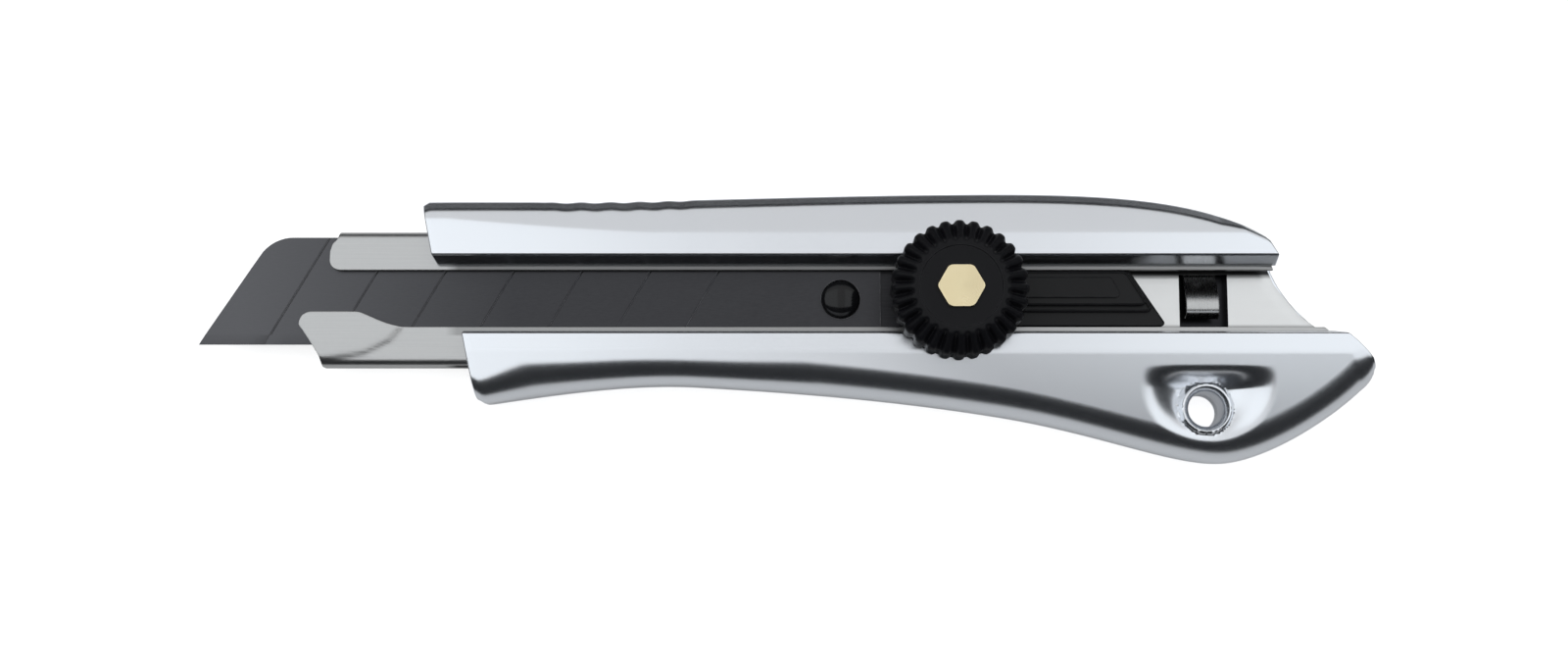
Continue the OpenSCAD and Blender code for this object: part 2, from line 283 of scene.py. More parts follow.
def rounded_slab(outline, low, high, soft, steps, axis):
    """Points and faces of an outline carried from low to high along an axis, with quarter-round rims."""
    levels = [(flat, low + back) for flat, back in round_end(outline, soft, steps)]
    levels += [(flat, high - back) for flat, back in round_end(outline, soft, steps)[::-1]]
    rings = np.array([np.insert(flat, axis, place, axis=1) for flat, place in levels])
    return swept(rings, np.delete(rings[[0, -1]], axis, axis=2))


print("section helper ready")

# %% [markdown]
# ## The casting
# On the real knife the handle is one satin-plated die casting: a floor, two rails that overhang the
# channel, a concave belly for the fingers and a pointed butt. It could be cut out of a block with booleans,
# but its edges would stay hard. Here its C-shaped section is carried from the slanted front to the diagonal
# rear, and the stations fan out on the way, so the rear edge is a station too. The scoop round the lanyard
# hole is a dip in the same surface, which keeps its rims soft, as in a casting.

# %% Outlines of the casting
SPINE = chain([[-59.6, 20.3]], bezier([-59.0, 20.85], [-47, 21], [-36, 20.9], [-26, 21.1]),
              bezier([-26, 21.1], [-8, 21.5], [14, 22.35], [36, 22.35]),
              bezier([36, 22.35], [59, 22.35], [71, 20.4], [79.6, 14.6]))
BELLY = chain([[-50.3, -12.0], [-49.6, -12.45]],
              bezier([-48.9, -12.55], [-36, -10.55], [-24, -9.05], [-14, -9.65]),
              bezier([-14, -9.65], [2, -10.55], [18, -11.75], [36, -14.65]),
              bezier([36, -14.65], [52, -17.25], [64, -22.35], [71.7, -22.35]),
              bezier([71.7, -22.35], [79, -22.35], [90, -15.5], [95.5, -10.2]),
              bezier([95.5, -10.2], [96.5, -9.3], [96.95, -8.3], [96.95, -7.3]))
REAR = chain(bezier([96.95, -7.3], [96.9, -6.2], [96.2, -4.9], [95.2, -4.0]),
             bezier([95.2, -4.0], [93.9, -2.7], [92.7, -1.3], [90.9, -0.3]),
             bezier([90.9, -0.3], [86, 2.5], [82, 8], [81.2, 12]),
             bezier([81.2, 12], [81.2, 13], [80.8, 13.9], [79.6, 14.6]))
FRONT_Y = [-12.6, SLOT_LOW, 11.2, 20.9]
FRONT_X = [-50.2, -52.6, -57.7, -59.6]


def front_x(y):
    """X of the slanted front edge of the handle at a given Y."""
    return np.interp(y, FRONT_Y, FRONT_X)


def rear_x(y):
    """X of the diagonal rear edge of the handle at a given Y."""
    return np.interp(y, REAR[:, 1], REAR[:, 0])


print("spine", len(SPINE), "belly", len(BELLY), "rear", len(REAR), "points")

# %% Stations and section of the casting
SCOOP_C, SCOOP_R, SCOOP_EDGE = np.array([69.3, -8.6]), 10.9, -6.5
HOLE_C, HOLE_R = np.array([69.1, -13.3]), 2.9
density = lambda s: 1 + 2.2 * np.exp(-((s - 0.82) / 0.075) ** 2) + 1.5 * np.exp(-((s - 0.99) / 0.03) ** 2)
dense = np.linspace(0, 1, 2001)
share = np.interp(np.linspace(0, 1, 300), np.cumsum(density(dense)) / density(dense).sum(), dense)
share[0], share[-1] = 0, 1
spine, belly = along(SPINE, share), along(BELLY, share)
ripple = 0.1 * smooth(-41, -37, spine[:, 0]) * smooth(-14, -18, spine[:, 0])
spine[:, 1] += ripple * (np.cos(2 * np.pi * spine[:, 0] / 4.8) - 1)
upper_w, lower_w = spine[:, 1] - SLOT_HIGH, SLOT_LOW - belly[:, 1]


def casting_section():
    """Corners of the C-shaped section, from the lip side of the upper rail to the belly and the cavity."""
    crease = 15.3 + 2.3 * np.clip((-22 - spine[:, 0]) / 34, 0, 1) ** 1.3
    crease = np.minimum(crease, SLOT_HIGH + 0.7 * upper_w)
    yt, yb = spine[:, 1], belly[:, 1]
    upper_edge_z = 11.8 - np.tan(np.radians(14)) * (yt - crease)
    slant = np.minimum(1.6, 0.5 * (yt - crease))
    land = np.minimum(3.1, 0.34 * lower_w)
    fall = np.radians(5 + 6 * smooth(-20, 40, belly[:, 0]))
    lower_edge_z = RAIL_TOP - np.tan(fall) * (lower_w - land)
    big_r = 5.9 * (0.7 + 0.3 * smooth(-50, -40, belly[:, 0]))
    cavity_low, cavity_high = chan_low[1] - 0.05, np.minimum(chan_high[1] + 0.05, yt - 1.8)
    lip_z, floor_z = chan_high[2] + 0.05, chan_low[2]
    return rounded_section([
        (AXIS_Y + SLOT_HALF, lip_z, 0.3, 3, 3),
        (SLOT_HIGH, RAIL_TOP, 0.45, 5, 5),
        (crease, 11.8, 4, 4, 6),
        (yt - slant, upper_edge_z + 0.25 * slant, 2.4, 10, 5),
        (yt, upper_edge_z - 0.48 * slant, 0.6, 8, 5),
        (yt - 0.5, 0, 1.6, 6, 16, 0.3),
        (yb + 0.7, 0, 1.8, 8, 5, 0.3),
        (yb, lower_edge_z, big_r, 28, 46, 0.8),
        (SLOT_LOW - land, RAIL_TOP, 5, 5, 3),
        (SLOT_LOW, RAIL_TOP, 0.4, 6, 3),
        (AXIS_Y - SLOT_HALF, lip_z, 0.3, 3, 2),
        (cavity_low, lip_z, 0.2, 2, 2),
        (cavity_low, floor_z, 0.2, 2, 14),
        (cavity_high, floor_z, 0.2, 2, 2),
        (cavity_high, lip_z, 0.2, 2, 1)], len(share))


section = casting_section()
print("casting:", section.shape[0], "stations of", section.shape[1], "points")

# %% Casting mesh
KNOT_Y = np.array([-6.6, -5.2, -3.8, -2.4, SLOT_LOW, 1.5, 3.5, 5.5, 8.0, 10.0, SLOT_HIGH])


def station_x(y, k=slice(None)):
    """X of a point on station k: straight between the outlines and lines of constant Y across the slot."""
    inner = front_x(KNOT_Y) + (rear_x(KNOT_Y) - front_x(KNOT_Y)) * share[k, None]
    knots_y = np.concatenate([belly[k, 1:], np.broadcast_to(KNOT_Y, inner.shape), spine[k, 1:]], 1)
    knots_x = np.concatenate([belly[k, :1], inner, spine[k, :1]], 1)
    x = np.empty_like(y)
    for i in range(knots_y.shape[1] - 1):
        y0, y1 = knots_y[:, i:i + 1], knots_y[:, i + 1:i + 2]
        t = (y - y0) / (y1 - y0)
        use = (t >= 0) | (i == 0)
        x = np.where(use, knots_x[:, i:i + 1] * (1 - t) + knots_x[:, i + 1:i + 2] * t, x)
    return x


def scoop_height(x, y, z):
    """Height of the belly face with the scoop sunk in, and how deep it is there, from 0 to 1.

    The depth grows smoothly from the round rim and faster from the straight edge; the boss round the hole is
    the higher of the dish and a small flat-topped hill."""
    out = np.hypot(x - SCOOP_C[0], y - SCOOP_C[1])
    inside = smooth(-0.3, 7.6, SCOOP_R - out) * smooth(0, 3.6, SCOOP_EDGE - y)
    boss = 9.5 - 3.4 * smooth(3.9, 5.6, np.hypot(x - HOLE_C[0], y - HOLE_C[1]))
    return np.maximum(z - 3.2 * inside, np.minimum(boss, z)), inside


y, z = section[..., 0], section[..., 1]
x = station_x(y)
sunk, inside = scoop_height(x, y, z)
z = np.where((y < SLOT_LOW - 1) & (z > 7.4) & (inside > 0), sunk, z)
rings = np.stack([x, y, z], -1)


def end_rings(k, line, radius, inward):
    """Rings of the rounded end of station k; line gives the end face's X at a Y."""
    out = []
    for flat, back in round_end(np.stack([y[k], z[k]], -1), radius):
        out.append(np.stack([line(flat[:, 0]) + inward * back, flat[:, 0], flat[:, 1]], -1))
    return np.array(out)


front_end = end_rings(0, lambda v: station_x(v[None], slice(0, 1))[0], 0.26, 1)[::-1]
rear_end = end_rings(-1, lambda v: station_x(v[None], slice(-1, None))[0], 0.24, -1)
body_rings = np.concatenate([front_end, rings[2:-2], rear_end])
points, faces = swept(body_rings, (front_end[0][:, 1:], rear_end[-1][:, 1:]))
casting = make_piece("casting_shell", points, faces, "handle", "plated_casting", "handle_casting")

# %% [markdown]
# The lanyard hole and the pocket under the stop spring go right into the casting, so they are cut with
# closed cutters. The hole's cutter flares at both ends, which leaves a rounded rim on the boss and on the
# back.

# %% Holes of the casting
flare = np.array([[0, -1], [HOLE_R + 1.4, -1], [HOLE_R + 0.9, 0], [HOLE_R + 0.25, 0.35], [HOLE_R, 0.9],
                  [HOLE_R, 8.3], [HOLE_R + 0.2, 8.8], [HOLE_R + 0.75, 9.25], [HOLE_R + 1.3, 12.5], [0, 12.5]])
flare[:, 0] = np.maximum(flare[:, 0], 1e-3)
cut(casting, lathe_solid("hole_cutter", flare, HOLE_C, 64))


def block_cutter(low, high):
    """A closed box from its low to its high corner, in millimetres."""
    x0, y0, z0, x1, y1, z1 = (*low, *high)
    corner = [(x0, y0, z0), (x1, y0, z0), (x1, y1, z0), (x0, y1, z0),
              (x0, y0, z1), (x1, y0, z1), (x1, y1, z1), (x0, y1, z1)]
    side = [(0, 3, 2, 1), (4, 5, 6, 7), (0, 1, 5, 4), (1, 2, 6, 5), (2, 3, 7, 6), (3, 0, 4, 7)]
    return solid_from("block_cutter", corner, side)


POCKET_LOW, POCKET_HIGH = np.array([66.1, 0.4]), np.array([74.2, 9.8])
cut(casting, block_cutter((*POCKET_LOW, 0.9), (POCKET_HIGH[0], 15, chan_low[2] + 1)))
for rivet_x in (-44, 40):
    head = [[1e-3, -1], [3.05, -1], [3.05, 1.0], [1e-3, 1.0]]
    cut(casting, lathe_solid("rivet_cutter", head, (rivet_x, AXIS_Y), 64))
spring_rivet_c = (box_mm("spring_rivet")[0][:2] + box_mm("spring_rivet")[1][:2]) / 2
cut(casting, lathe_solid("pin_cutter", [[1e-3, -1], [1.3, -1], [1.3, 5], [1e-3, 5]], spring_rivet_c, 32))
casting.data.set_sharp_from_angle(angle=math.radians(35))
print("casting after cuts:", len(casting.data.polygons), "faces")

# %% [markdown]
# ## The stainless channel
# The blade runs in a C-section folded from 0.8 mm sheet. In front its lips grow into two guide tabs. Sheet
# metal is easiest as a single middle surface that Solidify gives its thickness. The folds and walls are
# straight columns; each lip is a Coons patch, which fills the area between four border curves, so the
# rounded tabs follow their outline exactly.

# %% Coons patch and the channel's outlines
def coons(fold, edge, front, rear, v):
    """Patch between four curves: the ruled surfaces through facing sides, added, less the bilinear one."""
    u = np.linspace(0, 1, len(front))[:, None, None]
    v = v[None, :, None]
    ruled = (1 - u) * fold[None] + u * edge[None] + (1 - v) * front[:, None] + v * rear[:, None]
    corners = (1 - u) * ((1 - v) * fold[0] + v * fold[-1]) + u * ((1 - v) * edge[0] + v * edge[-1])
    return ruled - corners


def arc_points(centre, radius, start, end, n=10):
    """Points of a circular arc between two angles in degrees."""
    t = np.radians(np.linspace(start, end, n + 1))
    return np.stack([centre[0] + radius * np.cos(t), centre[1] + radius * np.sin(t)], -1)


def floor_front(y):
    """X of the front edge of the channel's floor and walls at a Y."""
    return np.interp(y, [-8, -4.3, 0.6, 12.5, 18], [-75.6, -76.7, -79.6, -75.2, -73.2])


def channel_rear(y):
    """X of the channel's rear edge at a Y: just inside the handle's diagonal end."""
    return np.interp(y, [-6.1, -3, 0, 3, 8, 12, 13, 16.5], [95.2, 92.5, 90.0, 86.0, 82.0, 80.4, 79.0, 74.0])


FOLD_R = 0.9
WALL_LOW, WALL_HIGH = chan_low[1] + SHEET_T / 2, chan_high[1] - SHEET_T / 2
MID_LOW, MID_HIGH = chan_low[2] + SHEET_T / 2, chan_high[2] - SHEET_T / 2
step_v = np.concatenate([np.linspace(0, 0.13, 45)[:-1], np.linspace(0.13, 1, 50)])
lower_front = chain([[floor_front(WALL_LOW + FOLD_R), WALL_LOW + FOLD_R], [-76.8, -4.2], [-78.5, -1.6]],
                    [[-79.6, 0.0]], arc_points((-78.2, 1.0), 2, 190, 135))
lower_edge = chain(arc_points((-78.2, 1.0), 2, 135, 90), arc_points((-71, -0.5), 3.5, 90, 62),
                   bezier([-69.3, 2.57], [-67.6, 1.9], [-65.2, 0.45], [-62, 0.45]),
                   [[channel_rear(0.45), 0.45]])
upper_front = chain([[floor_front(WALL_HIGH - FOLD_R), WALL_HIGH - FOLD_R], [-75.0, 14.4]],
                    [[-75.4, 13.2]], arc_points((-73.7, 11.7), 1.75, 180, 225))
upper_edge = chain(arc_points((-73.7, 11.7), 1.75, 225, 270), [[channel_rear(9.95), 9.95]])


def lip(front, edge, fold_y, count=16):
    """Plan points of a lip from its fold (first row) to its free edge (last row)."""
    fold = np.stack([floor_front(fold_y) + (channel_rear(fold_y) - floor_front(fold_y)) * step_v,
                     np.full(len(step_v), fold_y)], -1)
    free = along(edge, step_v)
    free[0], free[-1] = edge[0], edge[-1]
    start = along(front, np.linspace(0, 1, count))
    end_y = np.linspace(fold_y, edge[-1, 1], count)
    end = np.stack([channel_rear(end_y), end_y], -1)
    return coons(fold, free, start, end, step_v)


print("lip outlines:", len(lower_front), len(lower_edge), len(upper_front), len(upper_edge), "points")

# %% Channel mesh
CREASE_X, CREASE_Y = [-80, -75.8, -69.2, -65.1, -63.2, -61.5], [-5.6, -5.3, -4.3, -2.2, 0.2, 3]


def lip_height(plan):
    """Height of a lip: flat, with the guide tab in front of the crease pressed up a little."""
    over = plan[..., 1] - np.interp(plan[..., 0], CREASE_X, CREASE_Y)
    return MID_HIGH + 0.3 * smooth(-0.1, 1.1, over) * (plan[..., 1] < AXIS_Y) * smooth(-58, -61, plan[..., 0])


low_c, high_c = WALL_LOW + FOLD_R, WALL_HIGH - FOLD_R
lower, upper = lip(lower_front, lower_edge, low_c), lip(upper_front, upper_edge, high_c)
floor_line = np.stack([np.linspace(low_c, high_c, 24), np.full(24, MID_LOW)], -1)
folded = [arc_points((low_c, MID_HIGH - FOLD_R), FOLD_R, 90, 180, 5),
          arc_points((low_c, MID_LOW + FOLD_R), FOLD_R, 180, 270, 5), floor_line,
          arc_points((high_c, MID_LOW + FOLD_R), FOLD_R, 270, 360, 5),
          arc_points((high_c, MID_HIGH - FOLD_R), FOLD_R, 0, 90, 5)]
column_y, column_z = np.concatenate([part[1:] for part in folded])[:-1].T
column_x = floor_front(column_y)[:, None] + (channel_rear(column_y) - floor_front(column_y))[:, None] * step_v
middle = np.stack([column_x, np.broadcast_to(column_y[:, None], column_x.shape),
                   np.broadcast_to(column_z[:, None], column_x.shape)], -1)
lower = np.concatenate([lower, lip_height(lower)[..., None]], -1)[::-1]
upper = np.concatenate([upper, lip_height(upper)[..., None]], -1)
sheet = np.concatenate([lower, middle, upper])
faces = grid_quads(sheet.shape[0], sheet.shape[1])
points = sheet.reshape(-1, 3)
channel = make_piece("guide_channel", points, faces, "handle", "stainless_sheet", "blade_channel")
thick = channel.modifiers.new("sheet", "SOLIDIFY")
thick.thickness, thick.offset = SHEET_T * MM, 0
edge = channel.modifiers.new("deburred", "BEVEL")
edge.width, edge.segments, edge.limit_method, edge.angle_limit = 0.15 * MM, 2, "ANGLE", math.radians(55)
apply_modifiers(channel)
cut(channel, block_cutter((*POCKET_LOW, chan_low[2] - 0.5), (*POCKET_HIGH, chan_low[2] + SHEET_T + 0.6)))
channel.data.set_sharp_from_angle(angle=math.radians(35))
print("channel:", len(channel.data.polygons), "faces")

# %% [markdown]
# ## The blade
# A snap-off blade is a ground strip with slanted score lines. It could be a flat plate with a drawn
# pattern, but the lines catch the light because they are grooves. The strip is a grid whose columns are the
# raked front, the score lines and the square rear, so every groove is three columns of the same grid.

# %% Blade mesh
PITCH, FIRST, LEAN, RAKE, CORNER_R = 11.35, 10.9, 0.577, 0.65, 6.5
SCORES, GROOVE_W, GROOVE_D, GRIND = 7, 0.5, 0.085, 1.6
tip_x, low_y, high_y = blade_low[0], blade_low[1], blade_high[1]
rake_dir = np.array([RAKE, 1]) / math.hypot(RAKE, 1)
corner = np.array([tip_x + RAKE * (high_y - low_y), high_y])
reach = CORNER_R * math.tan(math.atan2(1, RAKE) / 2)
front_line = chain([[tip_x, low_y]], bezier(corner - reach * rake_dir, corner - 0.38 * reach * rake_dir,
                                            corner + [0.38 * reach, 0], corner + [reach, 0]))
blade_y = np.concatenate([[low_y, low_y + GRIND], np.linspace(low_y + GRIND + 0.1, high_y - 2.4, 8),
                          high_y - np.array([1.8, 1.2, 0.75, 0.4, 0.18, 0.05, 0])])


def blade_columns():
    """X of each column at each row, and how deep the column lies in a score line."""
    knots, depth = [np.interp(blade_y, front_line[:, 1], front_line[:, 0])], [0]
    for k in range(SCORES):
        line = tip_x + FIRST + PITCH * k + LEAN * (blade_y - low_y)
        knots += [line - GROOVE_W / 2, line, line + GROOVE_W / 2]
        depth += [0, 1, 0]
    knots.append(np.full(len(blade_y), blade_high[0]))
    depth.append(0)
    columns, sunk_by = [knots[0]], [0]
    for a, b, d0, d1 in zip(knots, knots[1:], depth, depth[1:]):
        share_at = np.linspace(0, 1, 2 if d0 or d1 else 5)[1:]
        columns += [a + (b - a) * t for t in share_at]
        sunk_by += [d0 + (d1 - d0) * t for t in share_at]
    return np.array(columns), np.array(sunk_by)


column_at, sunk_by = blade_columns()
half_t = (blade_high[2] - blade_low[2]) / 2
grind = half_t * 0.92 * np.clip((low_y + GRIND - blade_y) / GRIND, 0, 1)
spine_round = np.where(blade_y >= high_y - 0.01, 0.09, 0)
top_z = blade_high[2] - grind - spine_round - GROOVE_D * sunk_by[:, None] * np.ones(len(blade_y))
under_z = blade_low[2] + grind + spine_round + 0 * top_z
rings = np.concatenate([np.stack([column_at, 0 * column_at + blade_y, np.maximum(top_z, under_z + 0.02)], -1),
                        np.stack([column_at, 0 * column_at + blade_y, under_z], -1)[:, ::-1]], 1)
points, faces = swept(rings, (rings[0][:, 1:], rings[-1][:, 1:]))
blade = make_piece("snap_blade", points, faces, "slider", "blade_steel", "blade", sharp=20)
peg_c = (peg_low[:2] + peg_high[:2]) / 2
peg_r = (peg_high[0] - peg_low[0]) / 2
cut(blade, lathe_solid("peg_cutter", [[1e-3, 3], [peg_r + 0.08, 3], [peg_r + 0.08, 9], [1e-3, 9]], peg_c, 48))
blade.data.set_sharp_from_angle(angle=math.radians(20))

# %% [markdown]
# ## The lock wheel
# The wheel that clamps the slider is moulded in black plastic, with ribs that a wet thumb can still turn.
# The ribs could be copies of one bar round a drum. A moulded rib flows into its rim, though, so the wheel
# is one turned form, and the ribs are a wave round the circle that fades towards the flat face.

# %% Lock wheel
RIBS = 28
wheel_r = (wheel_high[0] - wheel_low[0]) / 2
skirt_z, wheel_top = wheel_low[2] + 3.95, wheel_high[2]
wheel_profile = chain(
    [[1e-3, wheel_low[2]], [5.5, wheel_low[2]], [5.8, wheel_low[2] + 0.3]],
    [[5.8, skirt_z - 0.3], [6.1, skirt_z]],
    [[8.5, skirt_z], [10.2, skirt_z]], bezier([10.2, skirt_z], [10.75, skirt_z], [11, skirt_z + 0.3],
                                              [11, skirt_z + 0.9], 6),
    straight([11, skirt_z + 0.9], [11, wheel_top - 2.7], 5),
    bezier([11, wheel_top - 2.7], [11, wheel_top - 2.0], [10.7, wheel_top - 1.65],
           [10.2, wheel_top - 1.4], 8),
    straight([10.2, wheel_top - 1.4], [7.9, wheel_top - 0.15], 9),
    bezier([7.9, wheel_top - 0.15], [7.6, wheel_top], [7.3, wheel_top], [6.9, wheel_top], 6),
    [[6.6, wheel_top - 0.02], [6.5, wheel_top - 0.22], [6.3, wheel_top - 0.25]],
    [[4.6, wheel_top - 0.25], [1e-3, wheel_top - 0.25]])


def ribbed(profile, steps=RIBS * 12):
    """Turned form whose rim is scalloped: a wave of the angle, sharpened into round ribs with narrow grooves.

    The wave cuts into the radius, and on the sloping shoulder into the height, in proportion to how far the
    point lies outside the flat face."""
    angle = full_turn(steps)
    groove = (0.5 - 0.5 * np.cos(RIBS * angle)) ** 2.2
    r, z = profile[:, :1] * wheel_r / 11, profile[:, 1:]
    reach_out = smooth(7.2, 10.4, r) * (z > skirt_z + 0.1)
    shoulder = smooth(7.2, 8.6, r) * smooth(wheel_top - 3, wheel_top - 1.6, z)
    r = r - 0.62 * reach_out * groove
    z = z - 0.85 * shoulder * groove
    return turned(r, z, angle, WHEEL_C)


wheel_form = ribbed(wheel_profile)
lock_wheel = make_piece("ribbed_wheel", *wheel_form, "wheel", "wheel_plastic", "lock_wheel", sharp=50)

# %% [markdown]
# ## Nut, peg and stop spring
# A brass hexagon carries the wheel's thread, a domed peg pulls the blade, and a bent strip of spring steel
# stops the slider at the rear. The nut and the peg are turned forms as well; the hexagon is a turned form
# held inside six flats, which gives it the rounded corners of a chamfered nut. The strip is its side
# outline, carried across.

# %% Brass nut, peg and stop spring
def hexagon(profile, centre, steps=120):
    """Hexagonal form with turned rims: the radius is the profile's, held inside the six flats.

    A flat at apothem a is reached at radius a / cos(angle from the flat's middle); corners point along X."""
    angle = full_turn(steps)
    off = (angle % (np.pi / 3)) - np.pi / 6
    apothem = (nut_high[1] - nut_low[1]) / 2
    r = np.minimum(profile[:, :1], apothem / np.cos(off))
    return turned(r, profile[:, 1:], angle, centre)


nut_corner = (nut_high[0] - nut_low[0]) / 2
z0, z1 = nut_low[2], nut_high[2]
nut_profile = chain([[0.02, z0], [nut_corner, z0], [nut_corner, z0 + 6]],
                    straight([nut_corner, z0 + 6], [nut_corner, z1 - 0.14], 4),
                    straight([nut_corner, z1 - 0.14], [3.7, z1 - 0.02], 4),
                    [[3.6, z1], [3.45, z1], [3.3, z1 - 0.01]],
                    straight([3.3, z1 - 0.01], [0.02, z1 - 0.16], 10))
nut = make_piece("hex_nut", *hexagon(nut_profile, WHEEL_C), "wheel", "brass", "wheel_nut", sharp=30)

z0, z1 = peg_low[2], peg_high[2]
peg_profile = chain([[0.02, z0], [peg_r - 0.15, z0], [peg_r, z0 + 0.15], [peg_r, z1 - 1.15]],
                    bezier([peg_r, z1 - 1.15], [peg_r * 0.98, z1 - 0.55], [peg_r * 0.52, z1], [0.02, z1], 16))
peg_form = turned(peg_profile[:, :1], peg_profile[:, 1:], full_turn(72), peg_c)
peg = make_piece("drive_peg", *peg_form, "slider", "peg_black", "blade_peg", sharp=30)

spring_line = chain([[14.6, 2.2]],
                    bezier([10.4, 2.2], [8.6, 2.2], [6.9, 4.7], [4.7, 4.95], 18),
                    bezier([4.7, 4.95], [3.4, 5.1], [2.7, 4.6], [2.5, 3.4], 12))
ahead = np.gradient(spring_line, axis=0)
side = np.stack([-ahead[:, 1], ahead[:, 0]], -1) / np.linalg.norm(ahead, axis=1, keepdims=True) * 0.3
outline = np.concatenate([spring_line + side, (spring_line - side)[::-1]])
spring_form = rounded_slab(outline, spring_low[0], spring_high[0], 0.12, 2, axis=0)
spring = make_piece("stop_tongue", *spring_form, "stop", "spring_steel", "stop_spring", sharp=50)

# %% [markdown]
# ## The slider
# The slider is a black moulding with a wide foot under the channel's lips, a guide in the slot and a
# stepped tail. Each step is a flat plan carried upwards, with a quarter round at both rims for the soft
# edges of a moulding, and the steps overlap into one piece.

# %% Slider block
def plate(corners, z0, z1, soft):
    """A flat plate with round corners and quarter-round rims; corners are (x, y, radius)."""
    plan = rounded_section([(*c, 5, 3) for c in corners], 1)[0]
    return rounded_slab(plan, z0, z1, soft, 3, axis=2)


def merged(parts):
    """Joins several (points, faces) pairs into one pair."""
    points, faces = [], []
    for p, f in parts:
        start = sum(len(q) for q in points)
        faces += [[i + start for i in face] for face in f]
        points.append(p)
    return np.concatenate(points), faces


guide, foot = (0.65, 9.75), (AXIS_Y - 10.2, AXIS_Y + 10.2)
block = merged([
    plate([(block_low[0], foot[0], 1), (48.4, foot[0], 1), (48.4, foot[1], 1), (block_low[0], foot[1], 1)],
          block_low[2], block_low[2] + 0.75, 0.15),
    plate([(19.5, guide[0], 0.5), (63.4, guide[0], 0.5), (57.4, guide[1], 0.5), (19.5, guide[1], 0.5)],
          block_low[2] + 0.05, 7.05, 0.2),
    plate([(35.2, 2.9, 0.4), (61.3, 2.9, 0.7), (59.6, 5.6, 0.5), (35.2, 5.6, 0.4)], 6.2, 7.7, 0.4),
    plate([(35.2, 3.9, 0.5), (60.3, 3.9, 0.7), (57.0, 9.2, 0.4), (56.2, guide[1] - 0.05, 0.4),
           (35.2, guide[1] - 0.05, 0.5)], 6.2, 8.3, 0.35),
    plate([(39.4, 5.2, 0.5), (55.9, 5.2, 0.7), (54.1, 8.6, 0.6), (39.4, 8.6, 0.5)], 7.8, 8.36, 0.1)])
slider = make_piece("slider_plate", *block, "slider", "slider_plastic", "slider_block", sharp=50)
STUD_R = 2.05
stud_cutter = lathe_solid("stud_cutter", [[1e-3, 4], [STUD_R, 4], [STUD_R, 9], [1e-3, 9]], WHEEL_C, 48)
cut(slider, stud_cutter, overlapping=True)
slider.data.set_sharp_from_angle(angle=math.radians(50))

# %% [markdown]
# ## Shader groups
# Three effects come back on almost every finish: fine directional lines from brushing or grinding, the
# faint skin and handling marks of a real surface, and paler edges where hands and cloths have polished
# them. Each is built once as a node group that gives out a mask or a height, and every material uses it
# with its own values.

# %% Node helpers
def add(tree, kind, *values, out=0, attrs=None, **named):
    """Adds a shader node; each value is a socket to link or a constant to set, by position or by name."""
    node = tree.nodes.new("ShaderNode" + kind)
    for key, value in (attrs or {}).items():
        setattr(node, key, value)
    for key, value in [*enumerate(values), *named.items()]:
        socket = node.inputs[key.replace("_", " ")] if isinstance(key, str) else node.inputs[key]
        if isinstance(value, bpy.types.NodeSocket):
            tree.links.new(value, socket)
        elif value is not None:
            socket.default_value = value
    return node.outputs[out]


def math_node(tree, operation, *values):
    """A Math node."""
    return add(tree, "Math", *values, attrs={"operation": operation})


def ranged(tree, value, from_low, from_high, to_low=0.0, to_high=1.0):
    """Maps a value from one range to another, by default 0 to 1, held at the ends."""
    return add(tree, "MapRange", value, from_low, from_high, to_low, to_high)


def new_group(name, inputs, output):
    """An empty node group with named number inputs, a Vector input and one output."""
    tree = bpy.data.node_groups.new(name, "ShaderNodeTree")
    tree.interface.new_socket(name="Vector", in_out="INPUT", socket_type="NodeSocketVector")
    for label, default in inputs.items():
        kind = "NodeSocketVector" if isinstance(default, tuple) else "NodeSocketFloat"
        tree.interface.new_socket(name=label, in_out="INPUT", socket_type=kind).default_value = default
    tree.interface.new_socket(name=output, in_out="OUTPUT", socket_type="NodeSocketFloat")
    source, sink = tree.nodes.new("NodeGroupInput"), tree.nodes.new("NodeGroupOutput")
    return tree, source.outputs, sink.inputs[0]


print("node helpers ready")

# %% Groups: lines, skin, worn edges
lines_group, given, result = new_group("fine_lines", {"Stretch": (1.0, 1.0, 1.0)}, "Lines")
drawn = add(lines_group, "VectorMath", given["Vector"], given["Stretch"], attrs={"operation": "MULTIPLY"})
broad = add(lines_group, "TexNoise", Vector=drawn, Scale=1.0, Detail=3.0, Roughness=0.65)
lines_group.links.new(ranged(lines_group, broad, 0.3, 0.7), result)

skin_group, given, result = new_group("handled_skin", {"Scale": 900.0, "Marks": 0.5}, "Skin")
peel = add(skin_group, "TexNoise", Vector=given["Vector"], Scale=given["Scale"], Detail=2.0)
smear = add(skin_group, "TexNoise", Vector=given["Vector"], Scale=55.0, Detail=4.0, Roughness=0.6,
            Distortion=1.2)
smear = ranged(skin_group, smear, 0.35, 0.90)
peel = math_node(skin_group, "MULTIPLY", peel, 0.5)
mixed = math_node(skin_group, "MULTIPLY_ADD", smear, given["Marks"], peel)
skin_group.links.new(mixed, result)

worn_group, given, result = new_group("worn_edges", {"Width": 0.0004, "Amount": 1.0}, "Mask")
soft = add(worn_group, "Bevel", Radius=given["Width"], attrs={"samples": 4})
hard = add(worn_group, "NewGeometry", out="Normal")
apart = add(worn_group, "VectorMath", soft, hard, attrs={"operation": "DOT_PRODUCT"}, out="Value")
apart = ranged(worn_group, apart, 0.985, 0.8)
patchy = add(worn_group, "TexNoise", Vector=given["Vector"], Scale=400.0, Detail=3.0)
apart = math_node(worn_group, "MULTIPLY", apart, ranged(worn_group, patchy, 0.35, 0.6, 0.2, 1.0))
worn_group.links.new(math_node(worn_group, "MULTIPLY", apart, given["Amount"]), result)


